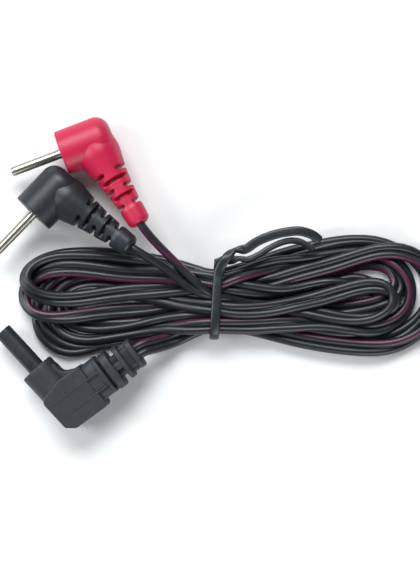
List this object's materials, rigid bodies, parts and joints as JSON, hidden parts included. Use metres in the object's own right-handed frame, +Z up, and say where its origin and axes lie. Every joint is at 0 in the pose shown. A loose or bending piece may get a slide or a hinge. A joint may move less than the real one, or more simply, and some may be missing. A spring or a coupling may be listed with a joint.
{
  "type": "electrode lead set",
  "caption": "Tied-up twin lead for a nerve stimulator: an angled shrouded device plug at one end, splitting into a red and a black angled plug with 2 mm pins.",
  "frame": {"origin": "on the table, under the centre of the whole set's bounding box", "axes": "+X along the hank, from the plugs' end to the far loops; +Y towards the red plug; +Z up from the table"},
  "size_m": [0.0947, 0.0648, 0.0101],
  "materials": {
    "red_pvc": "moulded soft PVC, crimson red, satin",
    "black_pvc": "moulded soft PVC, blue-black, satin",
    "device_pvc": "moulded soft PVC, dark grey-black, matt",
    "device_shroud": "hard moulded plastic, dark grey-black",
    "hard_mould": "hard moulded plastic",
    "natural_insulator": "natural plastic tube",
    "black_insulation": "extruded PVC insulation, black, semi-gloss",
    "striped_insulation": "extruded PVC insulation, black with a dark purple-red stripe",
    "tie_pvc": "extruded PVC ribbon, black, semi-gloss",
    "tie_steel": "soft iron wire",
    "nickel_plate": "nickel plated brass",
    "tinned_brass": "tinned brass",
    "copper": "bare stranded copper"
  },
  "bodies": {
    "root": {"red_plug_cover": "red_pvc", "red_pin": "nickel_plate", "red_pin_bush": "hard_mould", "red_crimp": "tinned_brass", "red_copper": "copper", "red_lead_wire": "striped_insulation", "black_plug_cover": "black_pvc", "black_pin": "nickel_plate", "black_pin_bush": "hard_mould", "black_crimp": "tinned_brass", "black_copper": "copper", "black_lead_wire": "black_insulation", "device_plug_cover": "device_pvc", "device_shroud": "device_shroud", "device_inner_mould": "hard_mould", "device_sleeve_contact": "nickel_plate", "device_contact_insulator": "natural_insulator", "device_centre_contact": "tinned_brass", "device_sleeve_lug": "nickel_plate", "device_centre_lug": "tinned_brass", "device_copper_plain": "copper", "device_copper_striped": "copper", "device_lead_plain": "black_insulation", "device_lead_striped": "striped_insulation", "cord_hank": "black_insulation", "tie_jacket": "tie_pvc", "tie_core_wire": "tie_steel"}
  },
  "joints": []
}
